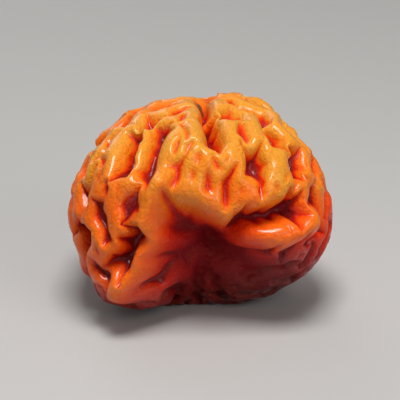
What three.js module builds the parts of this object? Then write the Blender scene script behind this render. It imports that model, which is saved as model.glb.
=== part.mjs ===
// A dried cape gooseberry (golden berry), husked and whole, lying on its flattened underside.
//
// The fruit is one piece: a round berry that has shrunk inside its own skin. Its shape comes about in the way
// that the real one's does:
//   1. a slightly flattened globe,
//   2. the large lobes, hollows and creases where the pulp has sunk,
//   3. the folds that the skin buckles into, because it is now too large for what is inside it. Most of them
//      run down from the scar that the stem left,
//   4. the flat that it lies on, where the skin is pressed against the tray while it dries.
//
// Millimetres, +Z up, the front at -Y. The origin is on the resting flat, under the middle of the fruit.

import * as THREE from "three";
import { mergeVertices } from "three/addons/utils/BufferGeometryUtils.js";

// Driving dimensions.
const WIDTH = 15.2; // along X
const DEPTH = 14.0; // along Y
const HEIGHT = 12.2; // along Z, standing on the flat
const FOLD_WIDTH = 2.2; // from one fold's crest to the next, on average
const SKIN_EXCESS = 0.24; // how much longer the skin is than the pulp under it, as a share, on average
const TRAY_LEVEL = -0.9; // the tray, as a share of the globe's half-height below its middle
const SPHERE_DETAIL = 19; // 20 * (SPHERE_DETAIL + 1)^2 triangles
const WELD_DISTANCE = 1e-4; // on the unit sphere, far below the length of an edge

// The scar where the stem was: a dimple with a button in its middle. Its place is its azimuth from the front
// towards +X and its elevation above the middle, both in degrees, as for everything below.
const STEM = [165, 66];
const DIMPLE_DEPTH = 0.8;
const DIMPLE_RADIUS = 1.3;
const BUTTON_HEIGHT = 0.35;
const BUTTON_RADIUS = 0.5;

// Large forms: [azimuth, elevation, spread, height]. Spread is the half-width in degrees. Height is in
// millimetres, negative for a hollow.
const LOBES = [
  [-50, 30, 30, 0.9], // left shoulder
  [-47, -22, 25, 1.0], // left foot
  [48, 34, 32, 1.0], // right shoulder
  [-4, 48, 20, 0.9], // brow
  [-10, 10, 14, -1.5], // the sunken front, its top left
  [10, 2, 14, -1.3], // its top right
  [-16, -15, 14, -1.0], // its left side
  [6, -11, 23, -2.2], // its deepest part
  [23, -12, 16, -1.3], // its right side
  [4, -45, 30, -2.4], // its way out to the tray
  [43, -26, 17, -1.0], // dent under the right cheek
  [78, -12, 20, 0.5], // right side
  [150, 30, 30, 0.6], // back right lobe
  [-140, 5, 32, 0.6], // back left lobe
  [178, -12, 22, -1.3], // hollow at the back
  [112, 22, 16, -0.7], // dent on the right side
  [-96, 26, 15, -0.5], // dent on the left side
];

// Creases: a line of [azimuth, elevation] stations, with a depth and a half-width in millimetres.
const CREASES = [
  { depth: 1.4, halfWidth: 0.5, line: [[12, 52], [14, 70]] }, // cleft in the brow
  { depth: 0.5, halfWidth: 0.6, line: [[14, 70], [165, 84], STEM] }, // from the cleft to the stem
  { depth: 0.9, halfWidth: 0.45, line: [[-53, 46], [-45, 33]] }, // left shoulder, outer slit
  { depth: 0.8, halfWidth: 0.6, line: [[-36, 54], [-31, 34]] }, // left shoulder, inner slit
  { depth: 1.0, halfWidth: 0.55, line: [[-31, 5], [-37, -6]] }, // left foot
  { depth: 0.7, halfWidth: 0.6, line: [[-60, -2], [-62, -18]] }, // outer side of the left foot
  { depth: 1.0, halfWidth: 0.6, line: [[23, 13], [46, 14]] }, // over the right cheek
  { depth: 0.9, halfWidth: 0.7, line: [[-150, 58], [-128, 34]] }, // back, left
  { depth: 0.9, halfWidth: 0.7, line: [[-165, 20], [-172, -20]] }, // back, middle
  { depth: 0.9, halfWidth: 0.7, line: [[100, -10], [128, 2]] }, // right side, low
];

// Ridges, given in the same way as the creases, with a height.
const RIDGES = [
  { height: 0.8, halfWidth: 0.8, line: [[-21, 28], [-26, 12], [-31, -8], [-38, -20]] }, // left of the hollow
  { height: 0.5, halfWidth: 0.8, line: [[-18, 26], [-3, 25], [14, 16]] }, // lip over the sunken front
  { height: 0.7, halfWidth: 0.8, line: [[28, 1], [40, 2], [54, 6]] }, // right cheek
];

// Places where the skin is taut: [azimuth, elevation, spread, share of its looseness that is gone].
const TAUT_PLACES = [
  [-2, 34, 22, 0.6], // brow and lip
  [0, -8, 25, 0.8], // the sunken front
  [42, 22, 14, 0.4], // right shoulder
  [...STEM, 9, 0.9], // the stem scar
  [0, -90, 38, 0.6], // where it lies on the tray
];

// Small pits in the skin: [azimuth, elevation].
const PITS = [[-58, 58], [48, 66], [58, 44], [59, 30], [34, 36]];
const PIT_DEPTH = 0.6;
const PIT_RADIUS = 0.5;

// The skin as an elastic net held to the pulp, in terms of its own bending stiffness, which is 1.
const STRETCH_STIFFNESS = 1.5;
const CLING = 3; // how much harder it is to lift the skin off the pulp than to press it in
const GROWTH_STEPS = 500;
const GROWTH_SHARE = 0.8; // the part of the steps over which the skin comes loose; it settles in the rest
const MOMENTUM = 0.9;
const TIME_STEP = 0.1;
const UNEVENNESS = 0.12; // millimetres by which the skin starts out uneven

// The linear generator of even random numbers, with the C library's usual constants.
const SEED = 7;
const RANDOM_FACTOR = 1103515245;
const RANDOM_STEP = 12345;
const RANDOM_RANGE = 2 ** 31;

// The skin is looser in some places than in others, and thicker in some, where its folds are wider.
const SWELLS = 16;
const SWELL_SPREAD = THREE.MathUtils.degToRad(32);
const LOOSENESS_VARIES = 0.5; // shares of the average, for a swell of full height
const WIDTH_VARIES = 0.3;

// It is looser across the lines that run away from the stem than along them, so most folds run that way too.
const LOOSE_ACROSS = 1.15; // shares of the average
const LOOSE_ALONG = 0.85;

const RADII = new THREE.Vector3(WIDTH / 2, DEPTH / 2, HEIGHT / 2);

// The unit vector at an azimuth and elevation in degrees.
function direction([azimuth, elevation]) {
  const a = THREE.MathUtils.degToRad(azimuth);
  const e = THREE.MathUtils.degToRad(elevation);
  return new THREE.Vector3(Math.sin(a) * Math.cos(e), -Math.cos(a) * Math.cos(e), Math.sin(e));
}

// A sphere of even triangles, as one closed mesh of unit vectors.
function unitSphere(detail) {
  const geometry = new THREE.IcosahedronGeometry(1, detail);
  geometry.deleteAttribute("normal");
  geometry.deleteAttribute("uv");
  return mergeVertices(geometry, WELD_DISTANCE);
}

// The distance from the middle of the fruit to the plain globe, along a unit vector.
function globeRadius(d) {
  return 1 / Math.hypot(d.x / RADII.x, d.y / RADII.y, d.z / RADII.z);
}

// The angle in radians from a unit vector to the arc between two others.
function angleToArc(d, from, to) {
  const pole = from.clone().cross(to).normalize();
  const foot = d.clone().addScaledVector(pole, -d.dot(pole)).normalize();
  const inside = foot.clone().cross(from).dot(pole) <= 0 && foot.clone().cross(to).dot(pole) >= 0;
  return inside ? Math.abs(Math.asin(d.dot(pole))) : Math.min(d.angleTo(from), d.angleTo(to));
}

// A bell curve: 1 in the middle, falling to 1/e at the half-width.
function bell(away, halfWidth) {
  return Math.exp(-((away / halfWidth) ** 2));
}

// Height of the lobes and hollows over the globe.
function lobeHeight(d) {
  let height = 0;
  for (const [azimuth, elevation, spread, rise] of LOBES) {
    height += rise * bell(d.angleTo(direction([azimuth, elevation])), THREE.MathUtils.degToRad(spread));
  }
  return height;
}

// How strongly a unit vector is on a line of stations: 1 on it, 0 away from it.
function nearness(d, line, halfWidth) {
  const stations = line.map(direction);
  const angles = stations.slice(1).map((station, i) => angleToArc(d, stations[i], station));
  return bell(Math.min(...angles) * globeRadius(d), halfWidth);
}

// Height of the stem scar over the lobes.
function scarHeight(d) {
  const away = d.angleTo(direction(STEM)) * globeRadius(d);
  return BUTTON_HEIGHT * bell(away, BUTTON_RADIUS) - DIMPLE_DEPTH * bell(away, DIMPLE_RADIUS);
}

// Height of the creases, pits and ridges over the lobes. Where two of a kind meet, the stronger one counts.
function foldHeight(d) {
  const creases = CREASES.map(({ depth, halfWidth, line }) => depth * nearness(d, line, halfWidth));
  const pits = PITS.map((pit) => PIT_DEPTH * bell(d.angleTo(direction(pit)) * globeRadius(d), PIT_RADIUS));
  const ridges = RIDGES.map(({ height, halfWidth, line }) => height * nearness(d, line, halfWidth));
  return Math.max(...ridges) - Math.max(...creases, ...pits);
}

// The neighbours of each vertex of an indexed mesh.
function neighbours(geometry) {
  const rings = Array.from({ length: geometry.attributes.position.count }, () => new Set());
  const index = geometry.index.array;
  for (let i = 0; i < index.length; i += 3) {
    for (let corner = 0; corner < 3; corner++) {
      const vertex = index[i + corner];
      rings[vertex].add(index[i + ((corner + 1) % 3)]);
      rings[vertex].add(index[i + ((corner + 2) % 3)]);
    }
  }
  return rings.map((ring) => [...ring]);
}

// Even pseudo-random numbers from -1 to 1, the same ones every time.
function randomSource(seed) {
  let state = seed;
  return () => {
    state = (state * RANDOM_FACTOR + RANDOM_STEP) % RANDOM_RANGE;
    return (2 * state) / RANDOM_RANGE - 1;
  };
}

// How far the mean of each vertex's neighbours is from the vertex itself, for vectors held at the vertices.
function sag(vectors, rings) {
  return vectors.map((vector, i) => {
    const mean = new THREE.Vector3();
    for (const j of rings[i]) mean.add(vectors[j]);
    return mean.divideScalar(rings[i].length).sub(vector);
  });
}

// A smooth field over the fruit, mostly between -1 and 1, made of a few swells and dips at random places.
function swellField(points, random) {
  const swells = Array.from({ length: SWELLS }, () => ({
    middle: new THREE.Vector3(random(), random(), random()),
    height: random(),
  }));
  return points.map((p) =>
    swells.reduce((sum, { middle, height }) => sum + height * bell(p.angleTo(middle), SWELL_SPREAD), 0),
  );
}

// How loose the skin is at each point, as a share of its length there. Where the pulp has sunk far in, the
// skin has gone with it and is less loose.
function looseness(pulp, random) {
  const swells = swellField(pulp, random);
  return pulp.map((p, i) => {
    const fullness = Math.min(1, p.length() / globeRadius(p.clone().normalize()));
    const taut = TAUT_PLACES.map(
      ([azimuth, elevation, spread, share]) =>
        1 - share * bell(p.angleTo(direction([azimuth, elevation])), THREE.MathUtils.degToRad(spread)),
    );
    const slack = taut.reduce((product, factor) => product * factor);
    return SKIN_EXCESS * (1 + LOOSENESS_VARIES * swells[i]) * fullness ** 2 * slack;
  });
}

// How much of the looseness an edge gets, from the direction it runs in.
function looseShare(from, to) {
  const hoop = direction(STEM).cross(from).normalize();
  const across = hoop.dot(to.clone().sub(from).normalize()) ** 2;
  return LOOSE_ALONG + (LOOSE_ACROSS - LOOSE_ALONG) * across;
}

// Lets the skin come to be too long for the pulp under it, and returns where its vertices end up. Each edge
// is a spring that pushes towards its new length, bending takes force, and the pulp holds every vertex to
// where it was. The balance between bending and hold sets how wide the folds are.
function buckle(pulp, rings, trayHeight) {
  const random = randomSource(SEED);
  const lengths = pulp.map((p, i) => rings[i].map((j) => p.distanceTo(pulp[j])));
  const edge = lengths.flat().reduce((sum, length) => sum + length) / lengths.flat().length;
  const widths = swellField(pulp, random).map((swell) => FOLD_WIDTH * (1 + WIDTH_VARIES * swell));
  const hold = widths.map((width) => ((Math.PI * edge) / width) ** 4);
  const loose = looseness(pulp, random);
  const excess = pulp.map((p, i) =>
    rings[i].map((j) => ((loose[i] + loose[j]) / 2) * looseShare(p, pulp[j])),
  );
  const outward = pulp.map((p) => p.clone().normalize());
  const skin = pulp.map((p) => p.clone().setLength(p.length() + UNEVENNESS * random()));
  const speeds = pulp.map(() => new THREE.Vector3());
  const along = new THREE.Vector3();
  for (let step = 0; step < GROWTH_STEPS; step++) {
    const grown = Math.min(1, step / (GROWTH_SHARE * GROWTH_STEPS));
    const shifts = skin.map((p, i) => p.clone().sub(pulp[i]));
    const bending = sag(sag(shifts, rings), rings);
    skin.forEach((p, i) => {
      const lift = Math.max(0, shifts[i].dot(outward[i]));
      const force = bending[i].negate().addScaledVector(shifts[i], -hold[i]);
      force.addScaledVector(outward[i], -(CLING - 1) * hold[i] * lift);
      rings[i].forEach((j, k) => {
        const length = lengths[i][k] * (1 + grown * excess[i][k]);
        along.subVectors(skin[j], p);
        force.addScaledVector(along, STRETCH_STIFFNESS * (1 - length / along.length()));
      });
      speeds[i].multiplyScalar(MOMENTUM).addScaledVector(force, TIME_STEP);
    });
    skin.forEach((p, i) => {
      p.add(speeds[i]);
      p.z = Math.max(p.z, trayHeight);
    });
  }
  return skin;
}

// The fruit at its stated size, with its resting flat at Z = 0 and its middle over the origin.
function berryGeometry() {
  const geometry = unitSphere(SPHERE_DETAIL);
  const position = geometry.attributes.position;
  const pulp = Array.from({ length: position.count }, (_, i) => {
    const d = new THREE.Vector3().fromBufferAttribute(position, i).normalize();
    return d.multiplyScalar(globeRadius(d) + lobeHeight(d) + foldHeight(d) + scarHeight(d));
  });
  const skin = buckle(pulp, neighbours(geometry), TRAY_LEVEL * RADII.z);
  skin.forEach((p, i) => position.setXYZ(i, p.x, p.y, p.z));
  geometry.computeBoundingBox();
  const raw = geometry.boundingBox.getSize(new THREE.Vector3());
  geometry.scale(WIDTH / raw.x, DEPTH / raw.y, HEIGHT / raw.z);
  geometry.computeBoundingBox();
  const middle = geometry.boundingBox.getCenter(new THREE.Vector3());
  return geometry.translate(-middle.x, -middle.y, -geometry.boundingBox.min.z);
}

function skinMaterial() {
  return new THREE.MeshStandardMaterial({ color: 0xd8560f, roughness: 0.45, metalness: 0 });
}

const berry = new THREE.Mesh(berryGeometry(), skinMaterial());
berry.name = "dried_berry";

const part = new THREE.Group();
part.add(berry);

export default part;
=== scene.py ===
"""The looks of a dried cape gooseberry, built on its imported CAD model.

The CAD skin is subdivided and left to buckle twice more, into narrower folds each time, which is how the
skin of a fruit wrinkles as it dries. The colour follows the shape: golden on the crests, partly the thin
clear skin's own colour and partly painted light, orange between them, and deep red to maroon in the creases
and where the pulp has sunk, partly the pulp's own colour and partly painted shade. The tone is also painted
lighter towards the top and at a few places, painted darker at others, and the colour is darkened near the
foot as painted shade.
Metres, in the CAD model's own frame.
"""

import math

import bpy
import numpy as np
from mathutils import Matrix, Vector


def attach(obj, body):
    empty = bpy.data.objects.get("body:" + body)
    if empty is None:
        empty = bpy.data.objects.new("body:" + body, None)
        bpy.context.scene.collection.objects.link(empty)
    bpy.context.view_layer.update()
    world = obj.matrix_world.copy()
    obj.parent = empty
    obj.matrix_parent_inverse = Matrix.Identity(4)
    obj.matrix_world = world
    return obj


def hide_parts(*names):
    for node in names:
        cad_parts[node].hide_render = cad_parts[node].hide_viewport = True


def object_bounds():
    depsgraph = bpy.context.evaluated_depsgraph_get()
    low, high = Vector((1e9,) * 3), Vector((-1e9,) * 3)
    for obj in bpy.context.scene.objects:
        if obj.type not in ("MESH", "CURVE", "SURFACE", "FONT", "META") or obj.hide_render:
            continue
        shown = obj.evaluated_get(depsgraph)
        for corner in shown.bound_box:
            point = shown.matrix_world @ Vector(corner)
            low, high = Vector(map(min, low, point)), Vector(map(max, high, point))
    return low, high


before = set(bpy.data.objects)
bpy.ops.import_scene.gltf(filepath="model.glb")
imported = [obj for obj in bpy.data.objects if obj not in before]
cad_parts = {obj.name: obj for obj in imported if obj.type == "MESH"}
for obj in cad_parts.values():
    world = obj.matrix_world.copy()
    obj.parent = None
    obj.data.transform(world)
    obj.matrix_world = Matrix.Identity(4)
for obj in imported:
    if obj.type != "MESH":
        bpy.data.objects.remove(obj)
cad_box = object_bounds()

MM = 0.001
NODE = "dried_berry"
WELD_DECIMALS = 3  # points that agree to this many decimals of a millimetre are one
NEARLY_ZERO = 1e-12

# The folds, from wide to narrow: each pass subdivides the skin once and lets it buckle.
# width is from crest to crest in millimetres, excess is how much too long the skin gets, as a share,
# and unevenness is how far it starts out uneven, in millimetres.
PASSES = [
    {"width": 1.2, "excess": 0.24, "steps": 240, "unevenness": 0.05},
    {"width": 0.55, "excess": 0.19, "steps": 150, "unevenness": 0.02},
]
LOOSE_ACROSS = 1.25  # shares of the excess, across the lines that run away from the stem and along them
LOOSE_ALONG = 0.75
LOOSE_ON_CRESTS = 0.15  # how much looser the skin is on a crest, and tighter in a crease

# The skin as an elastic net held to the pulp, in terms of its own bending stiffness, which is 1.
STRETCH_STIFFNESS = 1.5
CLING = 4  # how much harder it is to lift the skin off the pulp than to press it in
GROWTH_SHARE = 0.8  # the part of the steps over which the skin comes loose; it settles in the rest
MOMENTUM = 0.9
TIME_STEP = 0.1
SEED = 3

# Places on the fruit are an azimuth from the front towards +X and an elevation above the middle, in degrees.
STEM = (165, 66)  # the scar of the stem; the folds run away from it
SCAR_REACH = 9  # the angle from its middle to its edge

# Places where the skin is taut: azimuth, elevation, spread, and the share of the looseness that is gone.
TAUT_PLACES = [
    (-2, 34, 24, 0.35),  # brow and lip
    (4, -8, 25, 0.4),  # the sunken front
]

# Places with painted shade or painted light: azimuth, elevation, spread, and what the tone gains.
PAINTED_LIGHT_PLACES = [
    (56, -30, 28, -0.5),  # painted shade under the right cheek
    (38, 3, 14, 0.2),  # painted light on the right cheek
    (-4, 52, 15, 0.1),  # painted highlight on top of the brow
]

# Folds of one scale: the rounds of smoothing that wipe them out, and their usual height in millimetres.
FINE_FOLDS = (12, 0.05)
MIDDLE_FOLDS = (40, 0.15)
BROAD_FOLDS = (90, 0.22)

# The tone runs from 0 in the deepest hollow to 1 on the highest crest. These are its linear colours.
SKIN_COLOURS = [
    (0.00, (0.220, 0.0004, 0.0080)),
    (0.16, (0.380, 0.0016, 0.0040)),
    (0.30, (0.560, 0.0060, 0.0014)),
    (0.44, (0.720, 0.0240, 0.0008)),
    (0.58, (0.860, 0.0710, 0.0010)),
    (0.72, (0.890, 0.1370, 0.0030)),
    (0.86, (0.860, 0.2150, 0.0080)),
    (1.00, (0.810, 0.3200, 0.0250)),
]
SCAR_COLOUR = (0.16, 0.075, 0.03, 1)

# Levels by the height on the fruit, from 0 at its foot to 1 at its top: the tone, painted lighter towards
# the top, and the painted shade that darkens the colour near the foot.
PAINTED_LIGHT_BY_HEIGHT = [(0.0, 0.08), (0.15, 0.28), (0.35, 0.50), (0.55, 0.62), (0.8, 0.84), (1.0, 0.98)]
PAINTED_SHADE_BY_HEIGHT = [(0.0, 0.35), (0.12, 0.55), (0.25, 1.0)]

# What each measure adds to the tone, per unit below 0 and above 0. Creases and sunk places get darker,
# partly the pulp's own deeper colour and partly painted shade; crests and bulges get a little lighter,
# partly as painted light.
FINE_FOLD_TONE_AND_PAINTED_SHADE = (0.14, 0.02)
BROAD_FOLD_TONE_AND_PAINTED_SHADE = (0.34, 0.05)
SUNK_TONE_AND_PAINTED_SHADE = (-0.2, -1.0)
TONE_OF_PATCHES = 0.8

# Noise textures, with scales per metre.
PATCHES = {"Scale": 240.0, "Detail": 4.0}
STICKY_PLACES = {"Scale": 360.0, "Detail": 3.0}
RAGGED_EDGE = {"Scale": 900.0, "Detail": 3.0}
NET_WANDER = {"Scale": 900.0, "Detail": 2.0}
GRAIN = {"Scale": 2600.0, "Detail": 6.0, "Roughness": 0.65}
NOISE_MEAN = 0.5

# The net of fine creases between cells of skin.
NET_SCALE = 2200.0  # cells per metre
NET_WANDER_REACH = 0.9 * MM
NET_WIDTH = 0.12  # shares of a cell
NET_ROUNDING = 0.1
NET_DEPTH = 0.2 * MM
GRAIN_DEPTH = 0.15 * MM

# The scar fades out where the angle from the stem, in reaches, plus the ragged noise goes between these.
SCAR_INSIDE = 1.3
SCAR_OUTSIDE = 1.6
SCAR_COVER = 0.9  # how much of the skin's own colour it hides

# The gloss: the noise at which the skin starts to be sticky, how fast that rises, and what it does.
STICKY_FROM = 0.42
STICKY_GAIN = 3.0
COAT_LEAST = 0.35
COAT_BY_GLOSS = 0.5
COAT_LOST_BY_SUNK = 3.0
ROUGHNESS_MOST = 0.5
ROUGHNESS_BY_GLOSS = 0.2
SKIN_SHADER = {
    "Coat Roughness": 0.18,
    "Specular IOR Level": 0.35,
    "Specular Tint": (1.0, 0.55, 0.25, 1),
    "Subsurface Weight": 0.4,
    "Subsurface Radius": (1.0, 0.25, 0.06),
    "Subsurface Scale": 0.45 * MM,
}

# The camera stands in front of the fruit and looks down on it a little.
CAMERA_ELEVATION = math.radians(21)
CAMERA_DISTANCE = 0.16
CAMERA_LENS = 250  # millimetres
CAMERA_CLIP_START = 0.01

# Square soft lights that shine on the fruit, with places and sizes in metres.
LIGHTS = [
    {"name": "key", "place": (0, -0.045, 0.145), "size": 0.055, "watts": 0.21, "colour": (1, 0.98, 0.95)},
    {"name": "fill", "place": (0.10, -0.12, 0.09), "size": 0.10, "watts": 0.08, "colour": (1, 0.97, 0.94)},
    {"name": "back", "place": (-0.06, 0.13, 0.09), "size": 0.10, "watts": 0.05, "colour": (1, 0.98, 0.96)},
]
WORLD_STRENGTH = 0.15
FLOOR_REACH = 2  # metres each way
FLOOR_COLOUR = (0.48, 0.477, 0.474, 1)
FLOOR_ROUGHNESS = 0.8


# The mesh.


def welded_mesh(node):
    """The CAD node's points in millimetres, each once, and its triangles."""
    mesh = node.data
    points = np.array([v.co for v in mesh.vertices]) / MM
    mesh.calc_loop_triangles()
    faces = np.array([t.vertices for t in mesh.loop_triangles])
    rounded = np.round(points, WELD_DECIMALS)
    _, first, same = np.unique(rounded, axis=0, return_index=True, return_inverse=True)
    return points[first], same.ravel()[faces]


def subdivided(points, faces):
    """One step of Loop subdivision: four triangles for each one, on a smoother surface."""
    sides = np.concatenate([faces[:, [0, 1, 2]], faces[:, [1, 2, 0]], faces[:, [2, 0, 1]]])
    edges, edge_of_side = np.unique(np.sort(sides[:, :2], axis=1), axis=0, return_inverse=True)
    edge_of_side = edge_of_side.ravel()
    opposite = np.zeros((len(edges), 3))
    np.add.at(opposite, edge_of_side, points[sides[:, 2]])
    middles = 3 / 8 * (points[edges[:, 0]] + points[edges[:, 1]]) + opposite / 8
    valence = np.bincount(edges.ravel(), minlength=len(points))[:, None]
    around = np.zeros_like(points)
    np.add.at(around, edges[:, 0], points[edges[:, 1]])
    np.add.at(around, edges[:, 1], points[edges[:, 0]])
    kept = 5 / 8 * points + 3 / 8 * around / valence
    a, b, c = faces.T
    ab, bc, ca = edge_of_side.reshape(3, -1) + len(points)
    quarters = [(a, ab, ca), (ab, b, bc), (ca, bc, c), (ab, bc, ca)]
    return np.concatenate([kept, middles]), np.concatenate([np.stack(q, axis=1) for q in quarters])


def ring_table(count, faces):
    """Each point's neighbours, with its own number in any empty place, and how many neighbours it has."""
    sides = np.concatenate([faces[:, pair] for pair in ([0, 1], [1, 2], [2, 0])])
    pairs = np.unique(np.concatenate([sides, sides[:, ::-1]]), axis=0)
    valence = np.bincount(pairs[:, 0], minlength=count)
    first = np.concatenate([[0], np.cumsum(valence)[:-1]])
    rings = np.repeat(np.arange(count)[:, None], valence.max(), axis=1)
    rings[pairs[:, 0], np.arange(len(pairs)) - first[pairs[:, 0]]] = pairs[:, 1]
    return rings, valence[:, None]


def point_normals(points, faces):
    """Unit normals at the points."""
    a, b, c = (points[faces[:, corner]] for corner in range(3))
    face_normals = np.cross(b - a, c - a)
    normals = np.zeros_like(points)
    for corner in range(3):
        np.add.at(normals, faces[:, corner], face_normals)
    return normals / np.linalg.norm(normals, axis=1)[:, None]


def sag(field, rings, valence):
    """How far the mean of each point's neighbours is from the point, in a field held at the points."""
    return (field[rings].sum(axis=1) - rings.shape[1] * field) / valence


def crest_height(points, faces, folds):
    """How high each point stands on the folds of one scale: 0 between them, about 1 on a crest."""
    rounds, usual_height = folds
    rings, valence = ring_table(len(points), faces)
    smooth = points
    for _ in range(rounds):
        smooth = smooth + sag(smooth, rings, valence) / 2
    return ((points - smooth) * point_normals(points, faces)).sum(axis=1) / usual_height


# Directions and places on the fruit.


def unit(vectors):
    """The vectors, each one long."""
    return vectors / np.maximum(np.linalg.norm(vectors, axis=-1, keepdims=True), NEARLY_ZERO)


def direction(azimuth, elevation):
    """The unit vector at an azimuth from the front, towards +X, and an elevation, both in degrees."""
    a, e = math.radians(azimuth), math.radians(elevation)
    return np.array([math.sin(a) * math.cos(e), -math.cos(a) * math.cos(e), math.sin(e)])


def away_from(azimuth, elevation, offsets):
    """The angle in degrees between a direction and each offset from the middle."""
    return np.degrees(np.arccos(np.clip(unit(offsets) @ direction(azimuth, elevation), -1, 1)))


def bell(azimuth, elevation, spread, offsets):
    """1 at a place on the fruit, falling to 1/e at the spread."""
    return np.exp(-((away_from(azimuth, elevation, offsets) / spread) ** 2))


def painted_light_tone(offsets):
    """The painted light and painted shade at each point: what the tone gains from the listed places."""
    return np.sum([gain * bell(*place, offsets) for *place, gain in PAINTED_LIGHT_PLACES], axis=0)


# The folds.


def local_looseness(points, faces, middle, radii):
    """The share of the excess that the skin gets at each point: less where the pulp has taken it in."""
    fullness = np.clip(np.linalg.norm((points - middle) / radii, axis=1), 0, 1)
    crests = np.clip(crest_height(points, faces, MIDDLE_FOLDS), -1, 1)
    looseness = fullness**2 * (1 + LOOSE_ON_CRESTS * crests)
    for *place, share in TAUT_PLACES:
        looseness *= 1 - share * bell(*place, points - middle)
    return looseness


def buckled(pulp, faces, looseness, width, excess, steps, unevenness, random):
    """Lets the skin come to be too long for the pulp under it, on a tray at Z = 0, and returns its points.

    Each edge is a spring that pushes towards its new length, bending takes force, and the pulp holds every
    point to where it was. The balance between bending and hold sets how wide the folds are.
    """
    rings, valence = ring_table(len(pulp), faces)
    lengths = np.linalg.norm(pulp[rings] - pulp[:, None], axis=2)
    empty = lengths == 0
    middle = (pulp.min(axis=0) + pulp.max(axis=0)) / 2
    hoops = unit(np.cross(direction(*STEM), pulp - middle))
    across = (unit(pulp[rings] - pulp[:, None]) * hoops[:, None]).sum(axis=2) ** 2
    too_long = excess * (LOOSE_ALONG + (LOOSE_ACROSS - LOOSE_ALONG) * across)
    too_long *= (looseness[rings] + looseness[:, None]) / 2
    hold = (math.pi * lengths.sum() / valence.sum() / width) ** 4
    bumps = unevenness * random.uniform(-1, 1, len(pulp))
    outward = point_normals(pulp, faces)
    skin = pulp + outward * bumps[:, None]
    speed = np.zeros_like(pulp)
    for step in range(steps):
        growth = 1 + too_long * min(1, step / (GROWTH_SHARE * steps))
        shift = skin - pulp
        along = skin[rings] - skin[:, None]
        stretched = np.where(empty, 1, np.linalg.norm(along, axis=2))
        pull = np.where(empty, 0, STRETCH_STIFFNESS * (1 - growth * lengths / stretched))
        bending = sag(sag(shift, rings, valence), rings, valence)
        lift = np.maximum((shift * outward).sum(axis=1), 0)
        force = (pull[..., None] * along).sum(axis=1) - bending - hold * shift
        force -= (CLING - 1) * hold * lift[:, None] * outward
        speed = MOMENTUM * speed + TIME_STEP * force
        skin = skin + speed
        skin[:, 2] = np.maximum(skin[:, 2], 0)
    return skin


def wrinkled(points, faces, middle, radii):
    """The skin with all its folds."""
    random = np.random.default_rng(SEED)
    for settings in PASSES:
        points, faces = subdivided(points, faces)
        points[:, 2] = np.maximum(points[:, 2], 0)
        looseness = local_looseness(points, faces, middle, radii)
        points = buckled(points, faces, looseness, random=random, **settings)
    return points, faces


def set_attribute(mesh, name, values):
    """A number at each point of the mesh, for the material to read."""
    mesh.attributes.new(name, "FLOAT", "POINT").data.foreach_set("value", values.astype(np.float32))


def make_berry(node):
    """The visual skin, scaled to the CAD model's box."""
    points, faces = welded_mesh(node)
    lowest, highest = points.min(axis=0), points.max(axis=0)
    middle = (lowest + highest) / 2
    radii = (highest - lowest) / 2
    points, faces = wrinkled(points, faces, middle, radii)
    low, high = points.min(axis=0), points.max(axis=0)
    points = lowest + (points - low) * (highest - lowest) / (high - low)

    mesh = bpy.data.meshes.new("wrinkled_skin")
    mesh.from_pydata((points * MM).tolist(), [], faces.tolist())
    mesh.shade_smooth()
    set_attribute(mesh, "sunk", 1 - np.linalg.norm((points - middle) / radii, axis=1))
    set_attribute(mesh, "height", points[:, 2] / highest[2])
    set_attribute(mesh, "fine_crest", crest_height(points, faces, FINE_FOLDS))
    set_attribute(mesh, "broad_crest", crest_height(points, faces, BROAD_FOLDS))
    # Painted light and painted shade at the listed places.
    set_attribute(mesh, "painted_light_tone", painted_light_tone(points - middle))
    set_attribute(mesh, "from_stem", away_from(*STEM, points - middle) / SCAR_REACH)
    berry = bpy.data.objects.new("wrinkled_skin", mesh)
    bpy.context.scene.collection.objects.link(berry)
    mesh.materials.append(skin_material())
    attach(berry, "root")
    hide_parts(NODE)


# The material.


def add_node(tree, kind, inputs=None, **settings):
    """Adds a shader node. An input is a value to set or another node's output to link."""
    made = tree.nodes.new("ShaderNode" + kind)
    for name, value in settings.items():
        setattr(made, name, value)
    for key, value in (inputs or {}).items():
        if isinstance(value, bpy.types.NodeSocket):
            tree.links.new(value, made.inputs[key])
        else:
            made.inputs[key].default_value = value
    return made


def maths(tree, operation, *values):
    """A Math node's result."""
    return add_node(tree, "Math", dict(enumerate(values)), operation=operation).outputs[0]


def vector_maths(tree, operation, inputs):
    """A Vector Math node's result."""
    return add_node(tree, "VectorMath", inputs, operation=operation).outputs["Vector"]


def clamped(tree, value):
    """The value, kept between 0 and 1."""
    return add_node(tree, "Clamp", {"Value": value}).outputs["Result"]


def attribute(tree, name):
    """A number that the mesh holds at its points."""
    return add_node(tree, "Attribute", attribute_name=name).outputs["Fac"]


def noise(tree, place, settings, output="Fac"):
    """A noise texture's value, or its colour."""
    return add_node(tree, "TexNoise", {"Vector": place, **settings}).outputs[output]


def colour_ramp(tree, factor, stops):
    """A colour that follows the factor through [position, (red, green, blue)] stops."""
    made = add_node(tree, "ValToRGB", {"Fac": factor})
    elements = made.color_ramp.elements
    while len(elements) < len(stops):
        elements.new(0.5)  # moved to its own position below
    for element, (position, colour) in zip(elements, stops):
        element.position = position
        element.color = (*colour, 1)
    return made.outputs["Color"]


def level_ramp(tree, factor, stops):
    """A level that follows the factor through [position, level] stops."""
    return colour_ramp(tree, factor, [(position, (level,) * 3) for position, level in stops])


def two_sided(tree, value, gains):
    """The value times one gain where it is below 0 and another where it is above."""
    below, above = gains
    negative = maths(tree, "MULTIPLY", maths(tree, "MINIMUM", value, 0.0), below)
    positive = maths(tree, "MULTIPLY", maths(tree, "MAXIMUM", value, 0.0), above)
    return maths(tree, "ADD", negative, positive)


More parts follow.
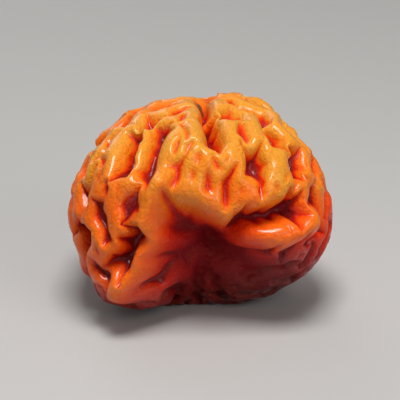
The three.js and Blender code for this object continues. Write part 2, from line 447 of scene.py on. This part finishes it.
def skin_tone_with_painted_light(tree, place):
    """From 0 in the deepest hollow to 1 on the highest crest. It holds painted light towards the top, on
    crests and at listed places, and painted shade in creases, hollows and under the right cheek, along with
    the skin's own colour and random patches.
    """
    # Painted shade in creases and sunk places and painted light on crests, partly the skin's own colour.
    fine = two_sided(tree, attribute(tree, "fine_crest"), FINE_FOLD_TONE_AND_PAINTED_SHADE)
    broad = two_sided(tree, attribute(tree, "broad_crest"), BROAD_FOLD_TONE_AND_PAINTED_SHADE)
    sunk = two_sided(tree, attribute(tree, "sunk"), SUNK_TONE_AND_PAINTED_SHADE)
    # Painted light: the tone rises towards the top of the fruit.
    painted_height_tone = level_ramp(tree, attribute(tree, "height"), PAINTED_LIGHT_BY_HEIGHT)
    patches = maths(tree, "SUBTRACT", noise(tree, place, PATCHES), NOISE_MEAN)
    patchy = maths(tree, "MULTIPLY", patches, TONE_OF_PATCHES)
    shape = maths(tree, "ADD", maths(tree, "ADD", fine, broad), maths(tree, "ADD", sunk, painted_height_tone))
    # Painted light and shade at the listed places, with random patches of tone.
    painted_places_and_patches = maths(tree, "ADD", attribute(tree, "painted_light_tone"), patchy)
    return maths(tree, "ADD", shape, painted_places_and_patches)


def scar_share(tree, place):
    """High on the corky scar where the stem came away and 0 off it, with a ragged edge."""
    reach = maths(tree, "ADD", attribute(tree, "from_stem"), noise(tree, place, RAGGED_EDGE))
    edge = {"Value": reach, "From Min": SCAR_OUTSIDE, "From Max": SCAR_INSIDE, "To Max": SCAR_COVER}
    return add_node(tree, "MapRange", edge).outputs["Result"]


def skin_colour(tree, place):
    """The colour of the skin by its tone, darkened near the foot of the fruit as painted shade, with the
    scar of the stem.
    """
    colour = colour_ramp(tree, skin_tone_with_painted_light(tree, place), SKIN_COLOURS)
    # Painted shade: the colour is darkened near the foot of the fruit.
    painted_shade = level_ramp(tree, attribute(tree, "height"), PAINTED_SHADE_BY_HEIGHT)
    colour_with_painted_shade = vector_maths(tree, "MULTIPLY", {0: colour, 1: painted_shade})
    # On a Mix node, inputs 6 and 7 and output 2 are the ones that hold colours.
    inputs = {"Factor": scar_share(tree, place), 6: colour_with_painted_shade, 7: SCAR_COLOUR}
    return add_node(tree, "Mix", inputs, data_type="RGBA").outputs[2]


def skin_relief(tree, place):
    """The normal of a skin with a net of fine creases and an uneven grain, both too small for the mesh."""
    wander = noise(tree, place, NET_WANDER, "Color")
    shift = vector_maths(tree, "SCALE", {0: wander, "Scale": NET_WANDER_REACH})
    wandering = {"Vector": vector_maths(tree, "ADD", {0: place, 1: shift}), "Scale": NET_SCALE}
    cells = add_node(tree, "TexVoronoi", wandering, feature="DISTANCE_TO_EDGE").outputs["Distance"]
    net = {"Height": maths(tree, "SMOOTH_MIN", cells, NET_WIDTH, NET_ROUNDING), "Distance": NET_DEPTH}
    creased = add_node(tree, "Bump", net).outputs["Normal"]
    grain = {"Height": noise(tree, place, GRAIN), "Distance": GRAIN_DEPTH, "Normal": creased}
    return add_node(tree, "Bump", grain).outputs["Normal"]


def skin_gloss(tree, place):
    """From 0 where the skin is dry to 1 where it is sticky."""
    sticky = maths(tree, "SUBTRACT", noise(tree, place, STICKY_PLACES), STICKY_FROM)
    return clamped(tree, maths(tree, "MULTIPLY", sticky, STICKY_GAIN))


def skin_coat(tree, gloss):
    """The weight of the clear coat, which goes down to nothing where the pulp has sunk."""
    coat = maths(tree, "ADD", COAT_LEAST, maths(tree, "MULTIPLY", gloss, COAT_BY_GLOSS))
    lost = maths(tree, "MULTIPLY", attribute(tree, "sunk"), COAT_LOST_BY_SUNK)
    return maths(tree, "MULTIPLY", coat, clamped(tree, maths(tree, "SUBTRACT", 1.0, lost)))


def skin_roughness(tree, gloss):
    """The roughness of the skin under its coat."""
    return maths(tree, "SUBTRACT", ROUGHNESS_MOST, maths(tree, "MULTIPLY", gloss, ROUGHNESS_BY_GLOSS))


def skin_material():
    """Thin, clear, slightly sticky skin over orange pulp."""
    material = bpy.data.materials.new("dried_skin")
    material.use_nodes = True
    tree = material.node_tree
    shader = tree.nodes["Principled BSDF"]
    place = add_node(tree, "TexCoord").outputs["Object"]
    gloss = skin_gloss(tree, place)
    tree.links.new(skin_colour(tree, place), shader.inputs["Base Color"])
    tree.links.new(skin_relief(tree, place), shader.inputs["Normal"])
    tree.links.new(skin_coat(tree, gloss), shader.inputs["Coat Weight"])
    tree.links.new(skin_roughness(tree, gloss), shader.inputs["Roughness"])
    for name, value in SKIN_SHADER.items():
        shader.inputs[name].default_value = value
    return material


# The studio.


def make_floor():
    """A plain pale floor under the fruit."""
    corners = [(x * FLOOR_REACH, y * FLOOR_REACH, 0) for x, y in ((-1, -1), (1, -1), (1, 1), (-1, 1))]
    mesh = bpy.data.meshes.new("floor")
    mesh.from_pydata(corners, [], [(0, 1, 2, 3)])
    floor = bpy.data.objects.new("floor", mesh)
    bpy.context.scene.collection.objects.link(floor)
    material = bpy.data.materials.new("pale_floor")
    material.use_nodes = True
    shader = material.node_tree.nodes["Principled BSDF"]
    shader.inputs["Base Color"].default_value = FLOOR_COLOUR
    shader.inputs["Roughness"].default_value = FLOOR_ROUGHNESS
    mesh.materials.append(material)


def aim(thing, place, target):
    """Puts a camera or light at a place, looking at the target."""
    thing.location = place
    thing.rotation_euler = (Vector(target) - Vector(place)).to_track_quat("-Z", "Y").to_euler()


def make_light(target, name, place, size, watts, colour):
    """A square soft light that shines on the target."""
    light = bpy.data.lights.new(name, "AREA")
    light.size = size
    light.energy = watts
    light.color = colour
    thing = bpy.data.objects.new(name, light)
    bpy.context.scene.collection.objects.link(thing)
    aim(thing, place, target)


def make_world():
    """Pale light all round."""
    world = bpy.data.worlds.new("studio")
    world.use_nodes = True
    background = world.node_tree.nodes["Background"]
    background.inputs["Color"].default_value = (1, 1, 1, 1)
    background.inputs["Strength"].default_value = WORLD_STRENGTH
    bpy.context.scene.world = world


def make_camera(target):
    """The scene's camera."""
    camera = bpy.data.cameras.new("camera")
    camera.lens = CAMERA_LENS
    camera.clip_start = CAMERA_CLIP_START
    thing = bpy.data.objects.new("camera", camera)
    bpy.context.scene.collection.objects.link(thing)
    back = Vector((0, -math.cos(CAMERA_ELEVATION), math.sin(CAMERA_ELEVATION)))
    aim(thing, target + CAMERA_DISTANCE * back, target)
    bpy.context.scene.camera = thing


lowest_corner, highest_corner = (Vector(corner) for corner in cad_box)
centre = (lowest_corner + highest_corner) / 2
make_camera(centre)
for light_settings in LIGHTS:
    make_light(centre, **light_settings)
make_world()
make_floor()
make_berry(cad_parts[NODE])
bpy.context.scene.view_settings.view_transform = "Standard"
